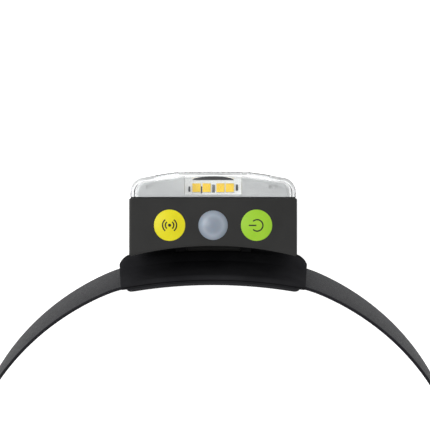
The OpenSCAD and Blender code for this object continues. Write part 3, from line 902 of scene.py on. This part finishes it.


# A clear prism over the LEDs, and a dark rubber arc in front of them: a painted reflection, standing in for the
# dark refracted image seen through the lens's front
def makeOptic():
    side = [(29.3, -19.5, 0.4), (29.3, -24.2, 1.2), (28.4, -25.6, 0.8), (26.4, -26.1, 0.5),
            (21.4, -26.1, 0.4), (25.6, -20.8, 0.3), (26.4, -19.5, 0.2)]
    outline = roundCorners([(y, z, r) for z, y, r in side], 4)
    points = [(x, p.x, p.y) for x in (-10.1, 10.1) for p in outline]
    made = bevel(betweenOutlines("floodOptic", points, lampFrame), 0.25, 2)
    finishPiece(made, "lamp", [opticClear], ["flood_optic"])

    # A dark arc on the prism's top, in place of the dark refracted image seen through the lens's front face:
    # painted reflection
    darkArc = {"half": 7.4, "front": -26.4, "back": -25.0, "z": 29.9, "thick": 0.4}
    arc = [(darkArc["half"] * math.cos(a), darkArc["back"] + (darkArc["front"] - darkArc["back"]) * math.sin(a))
           for a in [math.pi * k / 28 for k in range(29)]]
    low, high = darkArc["z"] - darkArc["thick"], darkArc["z"]
    points = [(x, y, z) for z in (low, high) for x, y in arc]
    made = bevel(betweenOutlines("lightTrap", points, lampFrame), 0.12, 2)
    finishPiece(made, "lamp", [nitrileRubber])


# Acrylic prism: nothing but its edges and its shine shows
opticClear = clearMaterial("castAcrylic", "#ffffff", 1.12, 0.02)
makeLeds()
makeOptic()
print("leds and optic made")


# Buttons and sensor dome

keyShape = {"radius": 5.7, "rise": 0.75, "ball": 24.0, "rim": 0.55, "flange": 6.2}


# A key's top height at a distance from its middle
def keyTop(distance):
    k = keyShape
    return housingShape["high"] + k["rise"] - (k["ball"] - math.sqrt(k["ball"] ** 2 - distance ** 2))


# Flat shapes printed on a key: a bar or an arc, laid on its domed top
def printedShape(name, centre, rows):
    lift, sink = 0.03, 0.05
    points, faces = [], []
    for row in rows:
        first, count = len(points), len(row)
        for left, right in row:
            for x, y in (left, right):
                top = keyTop(math.hypot(x, y))
                points.append((centre.x + x, centre.y + y, top + lift))
                points.append((centre.x + x, centre.y + y, top - sink))
        for i in range(count - 1):
            a, b = first + 4 * i, first + 4 * i + 4
            faces += [(a, a + 2, b + 2, b), (a + 1, b + 1, b + 3, a + 3), (a, b, b + 1, a + 1),
                      (a + 2, a + 3, b + 3, b + 2)]
        last = first + 4 * (count - 1)
        faces += [(first, first + 1, first + 3, first + 2), (last, last + 2, last + 3, last + 1)]
    return makeMesh(name, points, faces, lampFrame)


def arcRow(x, y, radius, start, end, stroke, steps=24):
    row = []
    for k in range(steps + 1):
        a = math.radians(start + (end - start) * k / steps)
        row.append([(x + r * math.cos(a), y + r * math.sin(a))
                    for r in (radius - stroke / 2, radius + stroke / 2)])
    return row


def barRow(x, y, length, stroke):
    return [[(x - length / 2 + length * k / 4, y - stroke / 2),
             (x - length / 2 + length * k / 4, y + stroke / 2)] for k in range(5)]


def makeKey(node, name, material, body, icon):
    k, top = keyShape, housingShape["high"]
    centre = buttonPlaces[node]
    ceiling = top - housingShape["wall"] - 0.1
    stem = nodeBox(node, lampFrame)[0].z
    profile = [(1.5, stem), (1.5, ceiling - 0.6), (k["flange"], ceiling - 0.6),
               (k["flange"], ceiling), (k["radius"], ceiling + 0.02)]
    edge = k["radius"] - k["rim"]
    edgeTop = keyTop(edge)
    profile += [(k["radius"], edgeTop - k["rim"] * 1.1)]
    for step in range(1, 7):
        a = math.radians(90 * step / 6)
        profile.append((edge + k["rim"] * math.cos(a),
                        edgeTop - k["rim"] * 0.85 + k["rim"] * 0.85 * math.sin(a)))
    profile += [(edge * t, keyTop(edge * t)) for t in (0.9, 0.75, 0.6, 0.45, 0.3, 0.15, 0.03)]
    made = turned(name, profile, (centre.x, centre.y, 0), lampFrame, 96)
    finishPiece(made, body, [material], [node])
    printed = printedShape(name + "Icon", centre, icon)
    finishPiece(printed, body, [padPrint])


waveIcon = [arcRow(0, 0, 0.28, 0, 360, 0.56, 20)]
for side in (0, 180):
    waveIcon += [arcRow(0, 0, r, side - 52, side + 52, 0.46) for r in (1.5, 2.5)]
powerIcon = [arcRow(-0.2, 0.05, 2.05, 45, 315, 0.46), barRow(1.45, 0.05, 2.7, 0.48)]
makeKey("sensor_button", "sensorKey", yellowSilicone, "sensor_key", waveIcon)
makeKey("power_button", "powerKey", limeSilicone, "power_key", powerIcon)


def makeDome():
    centre = buttonPlaces["sensor_dome"]
    top = nodeBox("sensor_dome", lampFrame)[1].z
    ball, foot = 8.2, housingShape["high"] - housingShape["wall"]
    middle = top - ball
    edge = 5.55
    outer = [(ball * math.sin(a), middle + ball * math.cos(a))
             for a in [math.asin(edge / ball) * k / 16 for k in range(16, 0, -1)]]
    hollowBall = ball - 1.0
    inner = [(hollowBall * math.sin(a), middle + hollowBall * math.cos(a))
             for a in [math.asin(4.7 / hollowBall) * k / 8 for k in range(1, 9)]]
    profile = [(0.03, middle + hollowBall)] + inner + [(4.7, foot - 0.9), (6.2, foot - 0.9),
               (6.2, foot - 0.05), (5.7, foot), (5.7, outer[0][1] - 0.25),
               (5.66, outer[0][1] - 0.1)] + outer + [(0.03, top)]
    body = turned("sensorDome", profile, (centre.x, centre.y, 0), lampFrame, 96)
    material = makeDomeMaterial(lampFrame @ Vector((centre.x, centre.y, top - 0.9)), 5.9 * mm)
    finishPiece(body, "lamp", [material], ["sensor_dome"])


makeDome()
print("keys and dome made")


# Bracket

bracketShape = {
    "face": (bandFrame.inverted() @ Vector(joints["lamp_tilt"]["pos_m"])).y + 2.3,
    "curve": 175.0, "plate": 1.3, "thick": 2.7, "halfTop": 33.9, "halfLow": 36.2,
    "low": nodeBox("bracket", bandFrame)[0].z, "high": nodeBox("bracket", bandFrame)[1].z,
    "flangeOut": 1.9, "flangeTop": 4.6, "tongueOut": 2.6, "endRound": 4.4,
}


# From flat (along, depth behind the face, height) to the bracket's curve
def onBracket(along, depth, height):
    b = bracketShape
    angle = along / b["curve"]
    radius = b["curve"] - depth
    return (radius * math.sin(angle), b["face"] + b["curve"] - radius * math.cos(angle), height)


def makeBracket():
    b = bracketShape
    low, high, lip = b["low"], b["high"], 1.05
    low += max(0.0, -14.5 - low)
    section = roundCorners([
        (b["thick"], low, 0.35), (-b["tongueOut"], low, 0.3), (-b["tongueOut"], low + 0.8, 0.2),
        (-b["flangeOut"], low + 1.1, 0.2),
        (-b["flangeOut"], low + b["flangeTop"], 1.6), (0, low + b["flangeTop"] + 5.5, 3.0),
        (0, high, 1.2), (1.75, high, 0.35), (1.8, high - 0.8, 0.1), (2.1, high - 0.8, 0.1),
        (2.15, high - 0.3, 0.15), (b["thick"], high - 0.35, 0.2), (b["thick"], high - lip, 0.2),
        (b["plate"], high - lip, 0.15), (b["plate"], low + 1.8, 0.15),
        (b["thick"], low + 1.8, 0.2)], 5)
    fractions = [-1 + 2 * k / 56 for k in range(57)]
    near = b["endRound"]
    rings = []
    ends = [near * (1 - math.cos(math.radians(90 * k / 7))) for k in range(8)]
    for side in (-1, 1):
        rings += [(side, end) for end in (ends if side < 0 else ends[::-1])]
        if side < 0:
            rings += [(f, None) for f in fractions[1:-1]]
    points = []
    for share, end in rings:
        for depth, height in section:
            t = (height - low) / (high - low)
            half = b["halfLow"] + (b["halfTop"] - b["halfLow"]) * t
            if end is None:
                along = share * (half - near)
                pull = 0.0
            else:
                along = share * (half - end)
                pull = 1 - math.sqrt(max(0.0, 1 - (1 - end / near) ** 2))
            if depth < 0:
                shoulder = min(1.0, max(0.0, (36.3 - abs(along)) / 8))
                depth *= math.sqrt(1 - (1 - shoulder) ** 2)
            forward = min(depth, 1.0)
            depth += (1.0 - forward) * pull * 0.92 if depth < 1.0 else 0.0
            height += (0.6 if height < 0 else -0.6) * pull if abs(height) > 12.6 else 0.0
            points.append(onBracket(along, depth, height))
    count = len(section)
    faces = [list(range(count)), [len(points) - count + i for i in range(count)]]
    for r in range(len(rings) - 1):
        for i in range(count):
            j = (i + 1) % count
            faces.append([r * count + i, r * count + j, (r + 1) * count + j, (r + 1) * count + i])
    body = makeMesh("frontBracket", points, faces, bandFrame)
    hinge = bandFrame.inverted() @ Vector(joints["lamp_tilt"]["pos_m"])
    mid = block("c", (-10.4, 10.4), (hinge.y - 4, b["face"] + 0.06), (low - 1, hinge.z + 2.25), bandFrame)
    combine(body, mid, "DIFFERENCE")
    ears = []
    for side in (-1, 1):
        outline = [(b["face"] + 0.6, hinge.z + 2), (b["face"] + 0.6, max(low, hinge.z - 2))]
        outline += [(hinge.y - 2 * math.sin(a), hinge.z - 2 * math.cos(a))
                    for a in [math.radians(180 * k / 16) for k in range(17)]]
        outline = [(y, max(low, z)) for y, z in outline]
        xs = sorted((side * 10.4, side * 14.4))
        sides = [(x, y, z) for x in xs for y, z in outline]
        ears.append(bevel(betweenOutlines("ear", sides, bandFrame), 0.35))
    made = join("frontBracket", [body] + ears)
    finishPiece(made, "strap", [mouldedNylon], ["bracket"])


makeBracket()
print("bracket made")


# Forehead pad

def makePad():
    low, high = nodeBox("forehead_pad", bandFrame)
    b = bracketShape
    pad = {"half": high.x + 0.4, "front": b["thick"] + 0.06, "thick": 1.35, "corner": 3.0,
           "low": low.z, "high": high.z, "columns": 60, "rows": 30}
    halfHeight, middle = (pad["high"] - pad["low"]) / 2, (pad["high"] + pad["low"]) / 2

    # Thickness share at a place: full in the middle, rounded off at the rim, pressed in at a channel
    def share(u, v):
        x, z = abs(u) * pad["half"], abs(v) * halfHeight
        rim = min(pad["half"] - x, halfHeight - z)
        cx, cz = pad["half"] - pad["corner"], halfHeight - pad["corner"]
        if x > cx and z > cz:
            rim = min(rim, pad["corner"] - math.hypot(x - cx, z - cz))
        edge = math.sqrt(max(0.0, 1 - (1 - min(max(rim, 0) / 1.0, 1)) ** 2))
        channel = math.exp(-((rim - 3.2) / 0.45) ** 2) * 0.35
        return max(0.12, edge - channel)

    points, faces = [], []
    columns, rows = pad["columns"], pad["rows"]
    for layer in (0, 1):
        for i in range(columns + 1):
            u = math.sin(math.pi / 2 * (2 * i / columns - 1))
            for j in range(rows + 1):
                v = math.sin(math.pi / 2 * (2 * j / rows - 1))
                x, z = u * pad["half"], v * halfHeight
                cx, cz = pad["half"] - pad["corner"], halfHeight - pad["corner"]
                if abs(x) > cx and abs(z) > cz:
                    dx, dz = abs(x) - cx, abs(z) - cz
                    reach = math.hypot(dx, dz)
                    longest = max(dx, dz)
                    if reach > 1e-6:
                        scale = longest / reach
                        x = math.copysign(cx + dx * scale, x)
                        z = math.copysign(cz + dz * scale, z)
                depth = pad["front"] + (pad["thick"] * share(x / pad["half"], z / halfHeight)
                                        if layer else 0)
                points.append(onBracket(x, depth, middle + z))
    size = (columns + 1) * (rows + 1)
    for i in range(columns):
        for j in range(rows):
            a = i * (rows + 1) + j
            quad = [a, a + 1, a + rows + 2, a + rows + 1]
            faces += [quad, [size + k for k in quad[::-1]]]
    border = ([i * (rows + 1) for i in range(columns + 1)]
              + [columns * (rows + 1) + j for j in range(1, rows + 1)]
              + [i * (rows + 1) + rows for i in range(columns - 1, -1, -1)]
              + [j for j in range(rows - 1, 0, -1)])
    for k, a in enumerate(border):
        n = border[(k + 1) % len(border)]
        faces.append([a, n, size + n, size + a])
    made = makeMesh("foreheadPad", points, faces, bandFrame)
    finishPiece(made, "strap", [foamedRubber], ["forehead_pad"], 60)


makePad()
print("forehead pad made")


# Headband

band = {"radius": nodeBox("headband", bandFrame)[1].x, "width": 25.0, "thick": 1.2,
        "channel": 1.4, "bar": 4.2, "barRadius": 1.0, "hem": 13.0, "edge": 0.5}
bandFlat = bracketShape["curve"] - band["channel"]     # curve of the run behind the bracket
bandFlatMiddle = bracketShape["face"] + bracketShape["curve"]


# A point of the loop at a turn from the lamp, as far inside its outer face as depth
def onLoop(degrees, depth):
    t = math.radians(degrees)
    ux, uy = math.sin(t), -math.cos(t)
    circle = band["radius"] - depth
    along = uy * bandFlatMiddle
    inside = along ** 2 - bandFlatMiddle ** 2 + (bandFlat - depth) ** 2
    flat = along + math.sqrt(max(0.0, inside)) if uy < 0 else circle
    gap = (flat - circle) / 0.35
    if abs(gap) < 30:
        reach = circle - 0.35 * math.log(1 + math.exp(-gap))
    else:
        reach = min(circle, flat)
    return (ux * reach, uy * reach, 0)


# Half a turn round one of the loop's bars, from the inside to the outside of the strap
def roundBar(degrees, depth, radius, side, steps=10):
    centre = Vector(onLoop(degrees, depth))
    out = centre.normalized()
    aside = Vector((-out.y, out.x, 0)) * side
    return [centre - out * radius * math.cos(a) + aside * radius * math.sin(a)
            for a in [math.pi * k / steps for k in range(steps + 1)]]


def makeStrap(name, path, body, replaced, blended=None):
    made = makeChains(name, [path])
    runTree(made, strapTree, {"Width": band["width"] * mm, "Thickness": band["thick"] * mm,
                              "Edge Radius": band["edge"] * mm, "Step": 1.2 * mm,
                              "Material": wovenPolyester})
    toPlace(made, bandFrame)
    if blended:
        smoothByAngle(made.data, 40)
        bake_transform(made)
        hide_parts(*replaced)
        return made
    return finishPiece(made, body, None, replaced, 40)


half = band["thick"] / 2
foldRadius = band["barRadius"] + half + 0.05
barDepth = 0.1
outerLayer = -half - 0.4     # the return run's middle, out from the loop's outer face
adjusterTurn = 146.0


# The main strap: the sewn hem, round the loop's first bar, and once round the head
def makeHeadband():
    hem = [onLoop(180 + band["hem"] - k * 0.7, -half - 0.06) for k in range(9)]
    fold = roundBar(180 + band["bar"], barDepth, foldRadius, 1)[::-1]
    around = [onLoop(188.5 + k, half) for k in range(344)]
    makeStrap("headbandWebbing", hem + fold + around, "strap", ["headband", "band_hem"])


# The free side: up round the loop's second bar, then along the outside as far as the slider
def makeReturn():
    start = [onLoop(t, half + 0.02) for t in (171.5, 172.6)]
    fold = roundBar(180 - band["bar"], barDepth, foldRadius, -1)
    path = start + fold + [onLoop(173.4 - k, outerLayer) for k in range(27)]
    ends = [bandFrame @ Vector(onLoop(t, outerLayer)) for t in (172, 149)]
    makeStrap("returnWebbing", path, "strap", ["band_return"],
              ("strap", "adjuster", tuple(ends[0]), tuple(ends[1])))


# Bends a part made flat as (along, out from the loop's outer face, height) round the loop at a turn
def bendRound(made, degrees):
    inverse = bandFrame.inverted()
    for vertex in made.data.vertices:
        along, out, height = inverse @ vertex.co
        t = math.radians(degrees) + along / band["radius"]
        reach = band["radius"] + out
        vertex.co = bandFrame @ Vector((math.sin(t) * reach, -math.cos(t) * reach, height))
    return made


# A rounded bar or rail, cut finely enough along its length to bend
def softBar(along, out, height, width, segments=4):
    made = block("bar", along, out, height, bandFrame)
    shape = bmesh.new()
    shape.from_mesh(made.data)
    longEdges = [e for e in shape.edges
                 if abs((e.verts[0].co - e.verts[1].co).x) > 0.9 * (along[1] - along[0]) * mm]
    bmesh.ops.subdivide_edges(shape, edges=longEdges, cuts=max(1, int((along[1] - along[0]) / 1.5)))
    shape.to_mesh(made.data)
    shape.free()
    return bevel(made, width, segments)


# Side rails and bars of both buckles, beside the webbing
buckle = {"rail": 2.0, "gap": 0.35, "edge": band["width"] / 2}


def railHeights(side):
    inner = side * (buckle["edge"] + buckle["gap"])
    return sorted((inner, inner + side * buckle["rail"]))


# How far a bar reaches up and down to end inside the rails
def barHeights(into):
    reach = buckle["edge"] + buckle["gap"] + into
    return (-reach, reach)


def makeLoop():
    parts = []
    for side in (-1, 1):
        parts.append(softBar((-9.4, 9.4), (-2.6, 1.7), railHeights(side), 0.75))
        along = side * math.radians(band["bar"]) * (band["radius"] - barDepth)
        rod = [(band["barRadius"], height) for height in barHeights(0.8)]
        parts.append(turned("rod", rod, (along, -barDepth, 0), bandFrame, 32))
    made = bendRound(join("ladderLoop", parts), 180)
    finishPiece(made, "strap", [polishedAcetal], ["band_loop"])


def makeSlider():
    parts = []
    for side in (-1, 1):
        parts.append(softBar((-11.9, 11.9), (-3.1, 1.8), railHeights(side), 0.8))
        parts.append(softBar(sorted((side * 8.6, side * 11.7)), (-3.1, -1.6), barHeights(0.6), 0.6))
    parts.append(softBar((-1.9, 0.3), (0.38, 1.5), barHeights(0.6), 0.5))
    made = bendRound(join("triGlideSlider", parts), adjusterTurn)
    finishPiece(made, "adjuster", [polishedAcetal], ["adjuster_slider"])


# The strap's sewn end: over the slider's middle bar and tucked down behind it
def makeFold():
    path = [onLoop(adjusterTurn + t, -out) for t, out in (
        (2.2, 1.05), (1.6, 1.12), (1.05, 1.6), (0.55, 2.1), (0.0, 2.3), (-0.6, 2.32), (-1.2, 2.2),
        (-1.62, 1.85), (-1.78, 1.4), (-1.8, 0.95))]
    makeStrap("sewnEnd", path, "adjuster", ["adjuster_fold"])


makeHeadband()
makeReturn()
makeLoop()
makeSlider()
makeFold()
print("headband made")


# Stitching

thread = {"pitch": 2.1, "long": 1.75, "thick": 0.42}


def sewn(name, chains, body):
    made = makeChains(name, chains)
    runTree(made, stitchTree, {"Pitch": thread["pitch"] * mm, "Stitch Length": thread["long"] * mm,
                               "Thread": thread["thick"] * mm, "Material": bondedThread})
    toPlace(made, bandFrame)
    return finishPiece(made, body, None, (), 60)


# A stitched row across the strap, or along it, at a distance out from the loop's outer face
def rowAcross(degrees, out, half=10.8):
    return [Vector(onLoop(degrees, -out)) + Vector((0, 0, h)) for h in (-half, 0, half)]


def rowAlong(start, end, height, out):
    return [Vector(onLoop(start + (end - start) * k / 8, -out)) + Vector((0, 0, height))
            for k in range(9)]


# The box with a cross that holds the hem, and two rows across the sewn end
hemBox = {"start": 187.6, "end": 191.8, "half": 10.8, "out": 1.28}


def makeStitches():
    h = hemBox
    rows = [rowAcross(t, h["out"], h["half"]) for t in (h["start"], h["end"])]
    rows += [rowAlong(h["start"], h["end"], height, h["out"]) for height in (-h["half"], h["half"])]
    for side in (-1, 1):
        spots = rowAlong(h["start"], h["end"], 0, h["out"])
        rows.append([spot + Vector((0, 0, side * h["half"] * (k / 4 - 1)))
                     for k, spot in enumerate(spots)])
    sewn("hemStitches", rows, "strap")
    sewn("endStitches", [rowAcross(adjusterTurn + t, 1.62) for t in (3.0, 4.0)], "adjuster")


makeStitches()
print("stitching made")


# Screws, covers and the remaining CAD nodes

def makeScrews():
    low, high = nodeBox("cover_screws", lampFrame)
    head = {"radius": 1.6, "tall": 1.15, "slot": 0.42, "deep": 0.6}
    unit = Matrix.Scale(mm, 4)
    profile = [(0.85, -3.9), (0.85, -head["tall"]), (head["radius"], -head["tall"]),
               (head["radius"], -0.4), (head["radius"] - 0.12, -0.18), (head["radius"] - 0.4, -0.04),
               (0.6, 0.0), (0.02, 0.0)]
    screw = turned("screw", profile, (0, 0, 0), unit, 40, "Y")
    for wide, tall in ((0.95, head["slot"] / 2), (head["slot"] / 2, 0.95)):
        combine(screw, block("c", (-wide, wide), (-head["deep"], 1), (-tall, tall), unit), "DIFFERENCE")
    screw.data.materials.append(platedSteel)
    inset = head["radius"]
    places = [[(x, high.y, z)] for x in (low.x + inset, high.x - inset)
              for z in (low.z + inset, high.z - inset)]
    made = makeChains("coverScrews", places)
    runTree(made, repeatTree, {"Shape": screw, "Size": 1.0})
    bpy.data.objects.remove(screw)
    toPlace(made, lampFrame)
    finishPiece(made, "lamp", None, ["cover_screws"])


makeScrews()
for node, name, width, material, body, slotName in (
        ("rear_cover", "rearCover", 0.35, mouldedAbs, "lamp", "housing_plastic"),
        ("usb_flap", "portFlap", 0.3, nitrileRubber, "port_flap", "seal_rubber"),
        ("usb_port", "usbSocket", 0.12, platedSteel, "lamp", "steel"),
        # The spot LEDs' phosphor glows with painted light
        ("spot_leds", "spotLeds", 0.15, castPhosphorPaintedGlow, "lamp", "led_phosphor")):
    finishPiece(roundedCopy(node, name, width), body, [material], [node])

nodeMaterials = {
    "hinge_pin": blackOxide, "hinge_washers": darkNylon, "cover_seal": nitrileRubber,
    # Both boards take the white solder mask, which glows with painted light
    "lens_seal": nitrileRubber, "spot_led_board": whiteMaskPaintedGlow, "heat_sink": stampedAluminium,
    "flood_board": whiteMaskPaintedGlow, "control_board": greenMask, "button_switches": blackEpoxy,
    "motion_sensor": platedSteel, "battery_cell": laminatedFoil, "battery_pad": openFoam,
    "battery_leads": redSleeve, "button_springs_power": clearSilicone,
    "button_springs_sensor": clearSilicone,
}
for node, material in nodeMaterials.items():
    mesh = frame["nodes"][node].data
    mesh.materials.clear()
    mesh.materials.append(material)
shown = [name for name, item in frame["nodes"].items()
         if not item.hide_render and name not in nodeMaterials]
print("CAD nodes without a finish:", shown)
